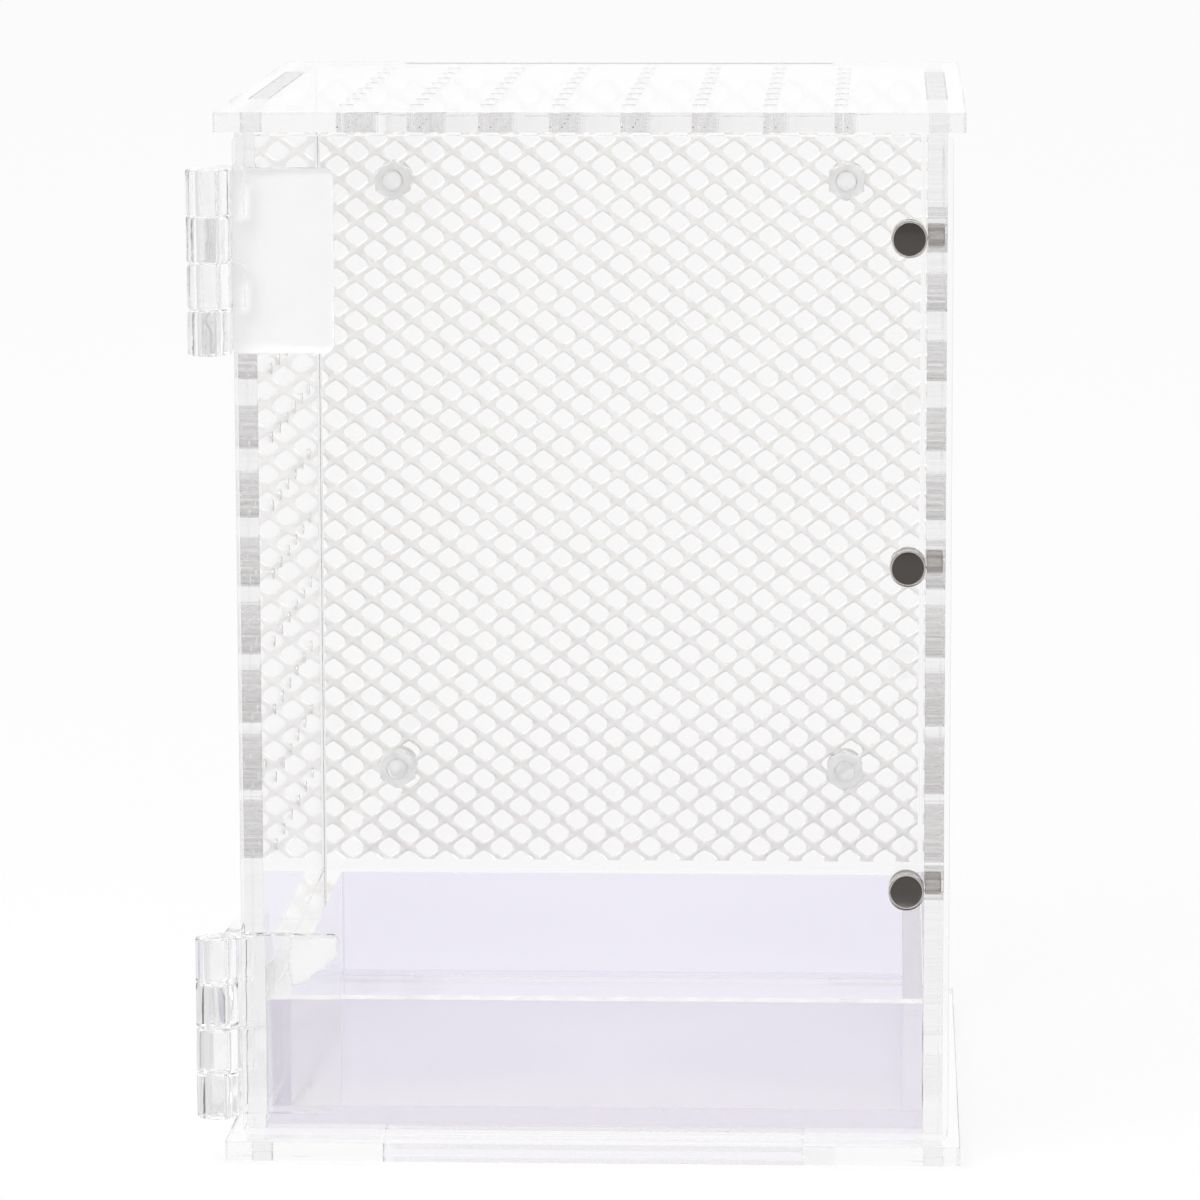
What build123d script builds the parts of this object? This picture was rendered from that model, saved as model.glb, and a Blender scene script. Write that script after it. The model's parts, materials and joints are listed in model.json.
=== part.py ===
from build123d import *
import os

os.makedirs("parts", exist_ok=True)

# Clear acrylic breeding box with a hinged front door, a climbing mesh on the back
# and a low tinted well for the ground layer. The origin is the centre of the base
# plate's underside, X runs to the right, Y to the back and Z up.

# Driving dimensions in millimetres

# Sheet and overall size
sheet = 2.8
overall_height = 150.0
plate_width = 105.0
plate_depth = 105.0
plate_corner_radius = 0.6
body_width = 100.0
front_setback = 4.8
back_setback = 2.8

# Tabs of the upright sheets and their slots in the two plates
side_tab_length = 56.0
back_tab_length = 66.0
well_tab_length = 60.0
slot_clearance = 0.05
glue_line = 0.05

# Air holes
roof_hole_diameter = 2.0
roof_hole_columns = 8
roof_hole_rows = 8
roof_hole_pitch_x = 10.0
roof_hole_pitch_y = 10.8
side_hole_diameter = 1.6
side_hole_columns = 6
side_hole_rows = 10
side_hole_pitch_y = 11.4
side_hole_pitch_z = 10.0
side_hole_top_margin = 16.2

# Door
door_thickness = 2.8
door_face_gap = 0.3
door_end_gap = 0.6
door_overhang = 0.8
door_corner_radius = 1.0

# Magnets of the door and of the right wall
magnet_diameter = 5.0
magnet_thickness = 2.5
magnet_chamfer = 0.25
magnet_clearance = 0.05
magnet_edge_margin = 1.4
magnet_pitch = 46.4
magnet_top_margin = 15.0

# Hinges
hinge_height = 26.0
hinge_barrel_diameter = 6.0
hinge_leaf_length = 17.4
hinge_leaf_thickness = 1.5
hinge_leaf_corner_radius = 1.3
hinge_adhesive = 0.2
hinge_knuckle_gap = 0.2
hinge_notch_clearance = 0.35
hinge_pin_diameter = 2.4
hinge_pin_fixed_clearance = 0.02
hinge_pin_running_clearance = 0.06
hinge_pin_recess = 0.3
upper_hinge_drop = 5.0
lower_hinge_rise = 4.2

# Climbing mesh and its fasteners
mesh_thickness = 0.8
mesh_cell_width = 5.85
mesh_cell_height = 4.4
mesh_strand_width = 1.05
mesh_bottom_gap = 1.7
mesh_side_gap = 0.4
screw_diameter = 3.0
screw_hole_clearance = 0.1
screw_thread_clearance = 0.05
screw_head_diameter = 5.6
screw_head_height = 2.0
screw_end_length = 0.8
nut_width = 5.5
nut_height = 2.4
screw_spacing_x = 70.5
screw_spacing_z = 93.0
screw_top_margin = 15.2

# Tinted well for the ground layer
well_sheet = 2.8
well_height = 19.6
well_clearance = 0.1

# Places that follow from the dimensions

floor_z = sheet
ceiling_z = overall_height - sheet
plate_front_y = -plate_depth / 2
wall_front_y = plate_front_y + front_setback
wall_back_y = plate_depth / 2 - back_setback
wall_middle_y = (wall_front_y + wall_back_y) / 2
wall_inner_x = body_width / 2 - sheet
inner_width = 2 * wall_inner_x
back_inner_y = wall_back_y - sheet

door_back_y = wall_front_y - door_face_gap
door_front_y = door_back_y - door_thickness
door_left_x = -body_width / 2
door_right_x = body_width / 2 + door_overhang
door_bottom_z = floor_z + door_end_gap
door_top_z = ceiling_z - door_end_gap

magnet_radius = magnet_diameter / 2
magnet_hole_radius = magnet_radius + magnet_clearance
door_magnet_x = wall_inner_x - magnet_radius
wall_magnet_y = wall_front_y + magnet_edge_margin + magnet_radius
magnet_top_z = ceiling_z - magnet_top_margin
magnet_heights = [magnet_top_z - step * magnet_pitch for step in range(3)]

barrel_radius = hinge_barrel_diameter / 2
hinge_axis_x = door_left_x - hinge_adhesive - barrel_radius
hinge_axis_y = door_front_y - hinge_adhesive - barrel_radius
upper_hinge_z = ceiling_z - upper_hinge_drop - hinge_height
lower_hinge_z = floor_z + lower_hinge_rise
knuckle_length = (hinge_height - 3 * hinge_knuckle_gap) / 4

upright_bottom_z = floor_z + glue_line
upright_top_z = ceiling_z - glue_line

well_top_z = floor_z + well_height
well_floor_top_z = upright_bottom_z + well_sheet
well_side_bottom_z = well_floor_top_z + glue_line
well_front_back_y = wall_front_y + well_sheet
well_start_y = well_front_back_y + glue_line
well_end_y = back_inner_y - well_clearance
well_outer_x = wall_inner_x - well_clearance
well_inner_x = well_outer_x - well_sheet

mesh_back_y = back_inner_y
mesh_front_y = back_inner_y - mesh_thickness
mesh_bottom_z = well_top_z + mesh_bottom_gap
mesh_left_x = -wall_inner_x + mesh_side_gap
mesh_half_columns = int((inner_width - 2 * mesh_side_gap) / (mesh_cell_width / 2))
mesh_half_rows = int((ceiling_z - mesh_bottom_z) / (mesh_cell_height / 2))
mesh_right_x = mesh_left_x + mesh_half_columns * mesh_cell_width / 2
mesh_top_z = mesh_bottom_z + mesh_half_rows * mesh_cell_height / 2
screw_top_z = ceiling_z - screw_top_margin
screw_places = [
    (side * screw_spacing_x / 2, height)
    for height in (screw_top_z, screw_top_z - screw_spacing_z)
    for side in (-1, 1)
]


def block(x0, x1, y0, y1, z0, z1):
    """A solid box between two corners."""
    return Pos(x0, y0, z0) * Box(x1 - x0, y1 - y0, z1 - z0, align=(Align.MIN, Align.MIN, Align.MIN))


def slot_face(width, depth, x, y):
    """The outline of a slot for a tab of this size, with its clearance."""
    return Pos(x, y) * Rectangle(width + 2 * slot_clearance, depth + 2 * slot_clearance)


def plate_outline():
    """The rounded rectangle that the base and the roof share, with the slots of the walls."""
    outline = RectangleRounded(plate_width, plate_depth, plate_corner_radius)
    side_x = wall_inner_x + sheet / 2
    outline -= slot_face(sheet, side_tab_length, -side_x, wall_middle_y)
    outline -= slot_face(sheet, side_tab_length, side_x, wall_middle_y)
    outline -= slot_face(back_tab_length, sheet, 0, back_inner_y + sheet / 2)
    return outline


def make_base_plate():
    """Base with slots for the side walls, the back panel and the front of the well."""
    outline = plate_outline() - slot_face(well_tab_length, well_sheet, 0, wall_front_y + well_sheet / 2)
    return extrude(outline, sheet)


def make_top_plate():
    """Roof with a grid of air holes."""
    outline = plate_outline()
    grid = GridLocations(roof_hole_pitch_x, roof_hole_pitch_y, roof_hole_columns, roof_hole_rows)
    outline -= [place * Circle(roof_hole_diameter / 2) for place in grid]
    return Pos(0, 0, ceiling_z) * extrude(outline, sheet)


def side_wall(centre_x):
    """Side wall with a tab at the top and the bottom and a grid of air holes."""
    inner_x = centre_x - sheet / 2
    wall = block(inner_x, inner_x + sheet, wall_front_y, wall_back_y, upright_bottom_z, upright_top_z)
    tab_start = wall_middle_y - side_tab_length / 2
    tab_end = wall_middle_y + side_tab_length / 2
    wall += block(inner_x, inner_x + sheet, tab_start, tab_end, 0, overall_height)
    last_row_z = ceiling_z - side_hole_top_margin - (side_hole_rows - 1) * side_hole_pitch_z
    first_column_y = wall_middle_y - (side_hole_columns - 1) * side_hole_pitch_y / 2
    drill = Rotation(0, 90, 0) * Cylinder(side_hole_diameter / 2, 2 * sheet)
    holes = []
    for column in range(side_hole_columns):
        for row in range(side_hole_rows):
            y = first_column_y + column * side_hole_pitch_y
            z = last_row_z + row * side_hole_pitch_z
            holes.append(Pos(centre_x, y, z) * drill)
    return wall - holes


def make_left_wall():
    return side_wall(-wall_inner_x - sheet / 2)


def make_right_wall():
    """Right wall, with three holes near its front edge for the magnets."""
    centre_x = wall_inner_x + sheet / 2
    drill = Rotation(0, 90, 0) * Cylinder(magnet_hole_radius, 2 * sheet)
    return side_wall(centre_x) - [Pos(centre_x, wall_magnet_y, height) * drill for height in magnet_heights]


def make_back_panel():
    """Back panel between the side walls, with tabs and four screw holes."""
    half_width = wall_inner_x - glue_line
    half_tab = back_tab_length / 2
    panel = block(-half_width, half_width, back_inner_y, wall_back_y, upright_bottom_z, upright_top_z)
    panel += block(-half_tab, half_tab, back_inner_y, wall_back_y, 0, overall_height)
    drill = Rotation(90, 0, 0) * Cylinder(screw_diameter / 2 + screw_hole_clearance, 4 * sheet)
    return panel - [Pos(x, back_inner_y, z) * drill for x, z in screw_places]


def mesh_opening():
    """Half the width and half the height of one diamond opening of the mesh."""
    half_x = mesh_cell_width / 2
    half_z = mesh_cell_height / 2
    side = (half_x ** 2 + half_z ** 2) ** 0.5
    half_strand = mesh_strand_width / 2
    return half_x - half_strand * side / half_z, half_z - half_strand * side / half_x


def closed_wire(points):
    """A closed wire through points given as x and z, on the mesh's back face."""
    return Wire.make_polygon([Vector(x, mesh_back_y, z) for x, z in points], close=True)


def make_back_mesh():
    """Flat diamond mesh, cut through the middle of its edge cells, with four screw holes."""
    half_w, half_h = mesh_opening()
    bottom, right, top, left, openings = [], [], [], [], []
    for column in range(mesh_half_columns + 1):
        for row in range(mesh_half_rows + 1):
            at_side = column in (0, mesh_half_columns)
            at_end = row in (0, mesh_half_rows)
            if (column + row) % 2 or (at_side and at_end):
                continue
            x = mesh_left_x + column * mesh_cell_width / 2
            z = mesh_bottom_z + row * mesh_cell_height / 2
            if row == 0:
                bottom += [(x - half_w, z), (x, z + half_h), (x + half_w, z)]
            elif column == mesh_half_columns:
                right += [(x, z - half_h), (x - half_w, z), (x, z + half_h)]
            elif row == mesh_half_rows:
                top += [(x - half_w, z), (x, z - half_h), (x + half_w, z)]
            elif column == 0:
                left += [(x, z - half_h), (x + half_w, z), (x, z + half_h)]
            else:
                corners = [(x - half_w, z), (x, z - half_h), (x + half_w, z), (x, z + half_h)]
                openings.append(closed_wire(corners))
    edge = [(mesh_left_x, mesh_bottom_z)] + bottom + [(mesh_right_x, mesh_bottom_z)] + right
    edge += [(mesh_right_x, mesh_top_z)] + top[::-1] + [(mesh_left_x, mesh_top_z)] + left[::-1]
    mesh = extrude(Face(closed_wire(edge), openings), mesh_thickness, dir=(0, -1, 0))
    drill = Rotation(90, 0, 0) * Cylinder(screw_diameter / 2 + screw_hole_clearance, 4 * mesh_thickness)
    return mesh - [Pos(x, mesh_front_y, z) * drill for x, z in screw_places]


def make_mesh_screws():
    """Four round headed screws, put in from behind."""
    end_y = mesh_front_y - nut_height - screw_end_length
    shank = Pos(0, end_y, 0) * Rotation(-90, 0, 0) * Cylinder(
        screw_diameter / 2, wall_back_y - end_y, align=(Align.CENTER, Align.CENTER, Align.MIN)
    )
    head = Pos(0, wall_back_y, 0) * Rotation(-90, 0, 0) * Cylinder(
        screw_head_diameter / 2, screw_head_height, align=(Align.CENTER, Align.CENTER, Align.MIN)
    )
    head = fillet(head.faces().sort_by(Axis.Y)[-1].edges(), screw_head_height / 2)
    return Compound([Pos(x, 0, z) * (head + shank) for x, z in screw_places])


def make_mesh_nuts():
    """Four hexagon nuts that hold the mesh from inside."""
    outline = RegularPolygon(nut_width / 2, 6, major_radius=False)
    outline -= Circle(screw_diameter / 2 + screw_thread_clearance)
    nut = Rotation(90, 0, 0) * extrude(outline, nut_height)
    return Compound([Pos(x, mesh_front_y, z) * nut for x, z in screw_places])


def make_door_panel():
    """Front door with rounded corners and three through holes for its magnets."""
    width = door_right_x - door_left_x
    height = door_top_z - door_bottom_z
    outline = RectangleRounded(width, height, door_corner_radius)
    outline -= [
        Pos(door_magnet_x - (door_left_x + door_right_x) / 2, z - (door_bottom_z + door_top_z) / 2)
        * Circle(magnet_hole_radius)
        for z in magnet_heights
    ]
    panel = Rotation(90, 0, 0) * extrude(outline, door_thickness)
    return Pos((door_left_x + door_right_x) / 2, door_back_y, (door_bottom_z + door_top_z) / 2) * panel


def magnet():
    """Disc magnet with chamfered rims, standing on its lower face at the origin."""
    disc = Cylinder(magnet_radius, magnet_thickness, align=(Align.CENTER, Align.CENTER, Align.MIN))
    return chamfer(disc.edges().filter_by(GeomType.CIRCLE), magnet_chamfer)


def make_door_magnet(height):
    """Magnet in the door, flush with the door's back face."""
    return Pos(door_magnet_x, door_back_y, height) * Rotation(90, 0, 0) * magnet()


def make_wall_magnet(height):
    """Magnet in the right wall, flush with the wall's inner face."""
    return Pos(wall_inner_x, wall_magnet_y, height) * Rotation(0, 90, 0) * magnet()


def hinge_leaf(knuckles, bore_radius):
    """A leaf along +X with its knuckles around the Z axis and its mounting face on the +Y side.

    Knuckles are counted from the bottom, from 0 to 3.
    """
    slab = block(0, hinge_leaf_length, barrel_radius - hinge_leaf_thickness, barrel_radius, 0, hinge_height)
    free_corners = slab.edges().filter_by(Axis.Y).group_by(Axis.X)[-1]
    leaf = fillet(free_corners, hinge_leaf_corner_radius)
    knuckle = Cylinder(barrel_radius, knuckle_length, align=(Align.CENTER, Align.CENTER, Align.MIN))
    notch_x = barrel_radius + hinge_notch_clearance
    for number in range(4):
        start = number * (knuckle_length + hinge_knuckle_gap)
        if number in knuckles:
            leaf += Pos(0, 0, start) * knuckle
        else:
            low = start - hinge_knuckle_gap
            high = start + knuckle_length + hinge_knuckle_gap
            leaf -= block(-barrel_radius, notch_x, -barrel_radius, 2 * barrel_radius, low, high)
    return leaf - Cylinder(bore_radius, 3 * hinge_height)


def make_door_leaf(bottom_z):
    """Leaf glued to the door's front face, with the first and the third knuckle from the top."""
    leaf = hinge_leaf((1, 3), hinge_pin_diameter / 2 + hinge_pin_running_clearance)
    return Pos(hinge_axis_x, hinge_axis_y, bottom_z) * leaf


def make_wall_leaf(bottom_z):
    """Leaf glued to the left wall's outer face, with the other two knuckles."""
    leaf = hinge_leaf((0, 2), hinge_pin_diameter / 2 + hinge_pin_fixed_clearance)
    turned = Rotation(0, 0, 90) * mirror(leaf, Plane.XZ)
    return Pos(hinge_axis_x, hinge_axis_y, bottom_z) * turned


def make_hinge_pin(bottom_z):
    """Pin held by the wall leaf's knuckles."""
    length = hinge_height - 2 * hinge_pin_recess
    pin = Cylinder(hinge_pin_diameter / 2, length, align=(Align.CENTER, Align.CENTER, Align.MIN))
    return Pos(hinge_axis_x, hinge_axis_y, bottom_z + hinge_pin_recess) * pin


def adhesive_pad(length):
    """Thin clear pad between a leaf and its sheet, along +X, on the +Y side of the leaf."""
    start_x = hinge_leaf_length - length
    pad = block(start_x, hinge_leaf_length, barrel_radius, barrel_radius + hinge_adhesive, 0, hinge_height)
    free_corners = pad.edges().filter_by(Axis.Y).group_by(Axis.X)[-1]
    return fillet(free_corners, hinge_leaf_corner_radius)


def make_door_adhesive(bottom_z):
    """Adhesive between a door leaf and the door."""
    pad = adhesive_pad(hinge_axis_x + hinge_leaf_length - door_left_x)
    return Pos(hinge_axis_x, hinge_axis_y, bottom_z) * pad


def make_wall_adhesive(bottom_z):
    """Adhesive between a wall leaf and the left wall."""
    pad = adhesive_pad(hinge_axis_y + hinge_leaf_length - wall_front_y)
    turned = Rotation(0, 0, 90) * mirror(pad, Plane.XZ)
    return Pos(hinge_axis_x, hinge_axis_y, bottom_z) * turned


def make_well_front():
    """Low front wall of the well, with a tab in the base plate."""
    half_tab = well_tab_length / 2
    wall = block(-well_outer_x, well_outer_x, wall_front_y, well_front_back_y, upright_bottom_z, well_top_z)
    return wall + block(-half_tab, half_tab, wall_front_y, well_front_back_y, 0, upright_bottom_z)


def make_well_floor():
    return block(-well_outer_x, well_outer_x, well_start_y, well_end_y, upright_bottom_z, well_floor_top_z)


def make_well_left():
    return block(-well_outer_x, -well_inner_x, well_start_y, well_end_y, well_side_bottom_z, well_top_z)


def make_well_right():
    return block(well_inner_x, well_outer_x, well_start_y, well_end_y, well_side_bottom_z, well_top_z)


def make_well_back():
    half_width = well_inner_x - glue_line
    front_y = well_end_y - well_sheet
    return block(-half_width, half_width, front_y, well_end_y, well_side_bottom_z, well_top_z)


# All pieces by name

pieces = {
    "base_plate": make_base_plate(),
    "top_plate": make_top_plate(),
    "left_wall": make_left_wall(),
    "right_wall": make_right_wall(),
    "back_panel": make_back_panel(),
    "back_mesh": make_back_mesh(),
    "mesh_screws": make_mesh_screws(),
    "mesh_nuts": make_mesh_nuts(),
    "well_front": make_well_front(),
    "well_floor": make_well_floor(),
    "well_left": make_well_left(),
    "well_right": make_well_right(),
    "well_back": make_well_back(),
    "door_panel": make_door_panel(),
}

for name, height in zip(("upper", "middle", "lower"), magnet_heights):
    pieces["door_magnet_" + name] = make_door_magnet(height)
    pieces["wall_magnet_" + name] = make_wall_magnet(height)

for name, bottom_z in (("upper", upper_hinge_z), ("lower", lower_hinge_z)):
    pieces[name + "_hinge_door_leaf"] = make_door_leaf(bottom_z)
    pieces[name + "_hinge_wall_leaf"] = make_wall_leaf(bottom_z)
    pieces[name + "_hinge_pin"] = make_hinge_pin(bottom_z)
    pieces[name + "_hinge_door_adhesive"] = make_door_adhesive(bottom_z)
    pieces[name + "_hinge_wall_adhesive"] = make_wall_adhesive(bottom_z)

for name, piece in pieces.items():
    export_step(piece, "parts/" + name + ".step")
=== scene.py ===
import json
from math import atan2, cos, hypot, pi, radians, sin

import bmesh
import bpy
from mathutils import Matrix, Quaternion, Vector


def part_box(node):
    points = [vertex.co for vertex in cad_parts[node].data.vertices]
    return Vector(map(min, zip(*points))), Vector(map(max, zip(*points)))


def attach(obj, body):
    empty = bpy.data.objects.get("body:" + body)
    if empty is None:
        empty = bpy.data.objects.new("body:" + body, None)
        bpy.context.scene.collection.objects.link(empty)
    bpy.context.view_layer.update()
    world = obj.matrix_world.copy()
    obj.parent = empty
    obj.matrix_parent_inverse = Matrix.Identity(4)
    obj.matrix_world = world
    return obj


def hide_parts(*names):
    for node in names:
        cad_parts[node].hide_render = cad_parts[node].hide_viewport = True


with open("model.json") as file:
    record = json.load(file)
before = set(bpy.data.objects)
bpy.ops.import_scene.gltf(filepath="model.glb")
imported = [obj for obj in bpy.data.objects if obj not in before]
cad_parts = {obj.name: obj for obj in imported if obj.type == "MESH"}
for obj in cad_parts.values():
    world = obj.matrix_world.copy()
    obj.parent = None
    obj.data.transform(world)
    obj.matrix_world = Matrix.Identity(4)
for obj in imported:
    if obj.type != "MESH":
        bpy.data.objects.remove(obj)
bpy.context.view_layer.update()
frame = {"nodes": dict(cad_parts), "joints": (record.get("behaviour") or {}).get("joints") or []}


# The base plate is a square of clear cast acrylic, laser cut, with slots for the tabs of the
# sheets that stand on it. Cutting leaves fine lines across its edges, and its faces stay polished.

def group_sockets(group, wanted):
    """Adds named sockets to a node group: name, direction, kind and starting value."""
    for name, direction, kind, value in wanted:
        socket = group.interface.new_socket(name, in_out=direction, socket_type="NodeSocket" + kind)
        if value is not None:
            socket.default_value = value


def piece_from(built, name):
    """An object of the scene made from a bmesh, which is used up."""
    mesh = bpy.data.meshes.new(name)
    built.to_mesh(mesh)
    built.free()
    piece = bpy.data.objects.new(name, mesh)
    bpy.context.scene.collection.objects.link(piece)
    return piece


def new_material(name):
    """Makes a material with nodes, and gives the material, its node tree and its Principled shader."""
    material = bpy.data.materials.new(name)
    material.use_nodes = True
    return material, material.node_tree, material.node_tree.nodes["Principled BSDF"]


def acrylic_material(name, haze):
    """Makes clear acrylic without a tint yet, and gives the same three things as new_material."""
    material, tree, surface = new_material(name)
    surface.inputs["Roughness"].default_value = haze
    surface.inputs["IOR"].default_value = acrylic_ior
    surface.inputs["Transmission Weight"].default_value = 1.0
    return material, tree, surface


def laser_cut_group():
    """Fine lines that a laser leaves across a sheet's edges, as a height that is 0 on its faces."""
    group = bpy.data.node_groups.new("laser_cut_edge", "ShaderNodeTree")
    group_sockets(group, [
        ("Across", "INPUT", "Vector", (0, 0, 1)),
        ("Lines per metre", "INPUT", "Float", 4000.0),
        ("Height", "OUTPUT", "Float", None),
    ])
    new = group.nodes.new
    link = group.links.new
    given = new("NodeGroupInput")
    result = new("NodeGroupOutput")
    where = new("ShaderNodeTexCoord")
    facing = new("ShaderNodeVectorMath")
    facing.operation = "DOT_PRODUCT"
    link(where.outputs["Normal"], facing.inputs[0])
    link(given.outputs["Across"], facing.inputs[1])
    size = new("ShaderNodeMath")
    size.operation = "ABSOLUTE"
    link(facing.outputs["Value"], size.inputs[0])
    edge = new("ShaderNodeMapRange")
    edge.inputs["From Min"].default_value = 0.3
    edge.inputs["From Max"].default_value = 0.6
    edge.inputs["To Min"].default_value = 1.0
    edge.inputs["To Max"].default_value = 0.0
    link(size.outputs[0], edge.inputs["Value"])

    along = new("ShaderNodeVectorMath")
    along.operation = "PROJECT"
    link(where.outputs["Object"], along.inputs[0])
    link(given.outputs["Across"], along.inputs[1])
    flat = new("ShaderNodeVectorMath")
    flat.operation = "SUBTRACT"
    link(where.outputs["Object"], flat.inputs[0])
    link(along.outputs["Vector"], flat.inputs[1])
    lines = new("ShaderNodeTexNoise")
    lines.inputs["Detail"].default_value = 3.0
    lines.inputs["Roughness"].default_value = 0.6
    link(flat.outputs["Vector"], lines.inputs["Vector"])
    link(given.outputs["Lines per metre"], lines.inputs["Scale"])
    height = new("ShaderNodeMath")
    height.operation = "MULTIPLY"
    link(lines.outputs["Fac"], height.inputs[0])
    link(edge.outputs["Result"], height.inputs[1])
    link(height.outputs[0], result.inputs["Height"])
    return group


acrylic_ior = 1.49
drift_tone = 0.992
cut_ridge_height = 0.000012
weld_distance = 1e-6
fine_weld_distance = 1e-7
laser_cut_edge = laser_cut_group()


def polished_face_material(name, tint, haze):
    """A polished face of cast acrylic: clear, with a slow drift in its tint."""
    material, tree, surface = acrylic_material(name, haze)
    where = tree.nodes.new("ShaderNodeTexCoord")
    drift = tree.nodes.new("ShaderNodeTexNoise")
    drift.inputs["Scale"].default_value = 30.0
    drift.inputs["Detail"].default_value = 0.0
    tree.links.new(where.outputs["Object"], drift.inputs["Vector"])
    tones = tree.nodes.new("ShaderNodeValToRGB")
    tones.color_ramp.elements[0].color = (*[part * drift_tone for part in tint], 1)
    tones.color_ramp.elements[1].color = (*tint, 1)
    tree.links.new(drift.outputs["Fac"], tones.inputs["Fac"])
    tree.links.new(tones.outputs["Color"], surface.inputs["Base Color"])
    return material


def cut_edge_material(name, across, tint, haze, stripe_shade):
    """The laser cut edge of a sheet whose broad faces look along the axis across."""
    material, tree, surface = acrylic_material(name, haze)
    cut = tree.nodes.new("ShaderNodeGroup")
    cut.node_tree = laser_cut_edge
    cut.inputs["Across"].default_value = across
    # Painted shade: the tint is darkened in the low parts of the cutting lines. It stands in for the dark
    # stripes that light piped through the sheet shows at its edges.
    tones = tree.nodes.new("ShaderNodeValToRGB")
    tones.color_ramp.elements[0].position = 0.3
    tones.color_ramp.elements[0].color = (*[part * stripe_shade for part in tint], 1)
    tones.color_ramp.elements[1].position = 0.7
    tones.color_ramp.elements[1].color = (*tint, 1)
    tree.links.new(cut.outputs["Height"], tones.inputs["Fac"])
    tree.links.new(tones.outputs["Color"], surface.inputs["Base Color"])
    ridges = tree.nodes.new("ShaderNodeBump")
    ridges.inputs["Strength"].default_value = 0.5
    ridges.inputs["Distance"].default_value = cut_ridge_height
    tree.links.new(cut.outputs["Height"], ridges.inputs["Height"])
    tree.links.new(ridges.outputs["Normal"], surface.inputs["Normal"])
    return material


def cut_lines(node, axis):
    """The closed cutting lines of a flat sheet of the frame, read from its face that looks along
    the axis, with the round ones as fine circles."""
    mesh = frame["nodes"][node].data
    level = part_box(node)[1][axis]
    across = [k for k in range(3) if k != axis]
    steps = set()
    for polygon in mesh.polygons:
        points = [mesh.vertices[index].co for index in polygon.vertices]
        if max(abs(point[axis] - level) for point in points) < weld_distance:
            places = [tuple(round(point[k], 6) for k in across) for point in points]
            steps.update(zip(places, places[1:] + places[:1]))
    following = {a: b for a, b in steps if (b, a) not in steps}
    lines = []
    while following:
        place, after = following.popitem()
        line = [place]
        while after != line[0]:
            line.append(after)
            after = following.pop(after)
        centre = [sum(point[k] for point in line) / len(line) for k in (0, 1)]
        radii = [hypot(u - centre[0], v - centre[1]) for u, v in line]
        longest = max(hypot(u - b, v - c) for (u, v), (b, c) in zip(line, line[1:] + line[:1]))
        if max(radii) - min(radii) < roundness * max(radii) and longest < max(radii):
            turns = [2 * pi * k / round_hole_steps for k in range(round_hole_steps)]
            line = [(centre[0] + max(radii) * cos(a), centre[1] + max(radii) * sin(a)) for a in turns]
        lines.append(line)
    return lines


def cut_sheet(node, axis, body, materials, edge_break):
    """A laser cut sheet in the place of a flat node: the node's own lines, with every edge just
    broken. The materials are those of its faces, its outer edges and its small holes."""
    low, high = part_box(node)
    lines = cut_lines(node, axis)
    hole_centres = []
    for line in lines:
        if len(line) == round_hole_steps:
            centre = Vector([sum(point[k] for point in line) / len(line) for k in (0, 1)])
            if (Vector(line[0]) - centre).length < small_hole_radius:
                hole_centres.append(centre)
    curve = bpy.data.curves.new(node, "CURVE")
    curve.dimensions = "2D"
    curve.fill_mode = "BOTH"
    curve.extrude = (high[axis] - low[axis]) / 2 - edge_break - sheet_gap
    curve.bevel_depth = edge_break
    curve.bevel_resolution = 0
    curve.offset = -edge_break - sheet_gap
    for line in lines:
        spline = curve.splines.new("POLY")
        spline.points.add(len(line) - 1)
        for point, (u, v) in zip(spline.points, line):
            point.co = (u, v, 0, 1)
        spline.use_cyclic_u = True
    drawn = bpy.data.objects.new(node, curve)
    bpy.context.scene.collection.objects.link(drawn)
    bpy.context.view_layer.update()
    built = bmesh.new()
    flat = bpy.data.meshes.new_from_object(drawn.evaluated_get(bpy.context.evaluated_depsgraph_get()))
    built.from_mesh(flat)
    bpy.data.objects.remove(drawn)
    bmesh.ops.remove_doubles(built, verts=built.verts, dist=weld_distance)
    across = [k for k in range(3) if k != axis]
    for vertex in built.verts:
        place = Vector((0, 0, 0))
        place[across[0]], place[across[1]] = vertex.co.x, vertex.co.y
        place[axis] = (low[axis] + high[axis]) / 2 + vertex.co.z
        vertex.co = place
    bmesh.ops.recalc_face_normals(built, faces=built.faces[:])
    for face in built.faces:
        face.smooth = True
        middle = face.calc_center_median()
        place = Vector((middle[across[0]], middle[across[1]]))
        if abs(face.normal[axis]) > facing_axis:
            face.material_index = 0
        elif any((place - centre).length < small_hole_radius for centre in hole_centres):
            face.material_index = 2
        else:
            face.material_index = 1
    for edge in built.edges:
        edge.smooth = len(edge.link_faces) == 2 and edge.calc_face_angle(0.0) < radians(sheet_crease)
    sheet = piece_from(built, node + "_sheet")
    for material in materials:
        sheet.data.materials.append(material)
    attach(sheet, body)
    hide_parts(node)


roundness = 0.02
facing_axis = 0.99
sheet_crease = 30
small_hole_radius = 0.0015
clear_edge_break = 0.00006
sheet_gap = 0.00001
round_hole_steps = 40
clear_face = polished_face_material("clear_face", (0.995, 0.993, 0.995), haze=0.0)
clear_edge_tint = (0.99, 0.985, 0.99)
clear_edges = []
for axis in range(3):
    across = [float(k == axis) for k in range(3)]
    # The cutting lines of these edges carry a faint painted shade.
    clear_edges.append(cut_edge_material(
        "clear_edge_across_" + "xyz"[axis], across, clear_edge_tint, haze=0.02, stripe_shade=0.96
    ))
clear_level = (clear_face, clear_edges[2], clear_edges[2])
cut_sheet("base_plate", 2, "case", clear_level, clear_edge_break)


# The well for the ground layer is five sheets of faintly lavender acrylic, solvent glued into a
# low open box. The tab of its front sheet stands in the base plate.

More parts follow.
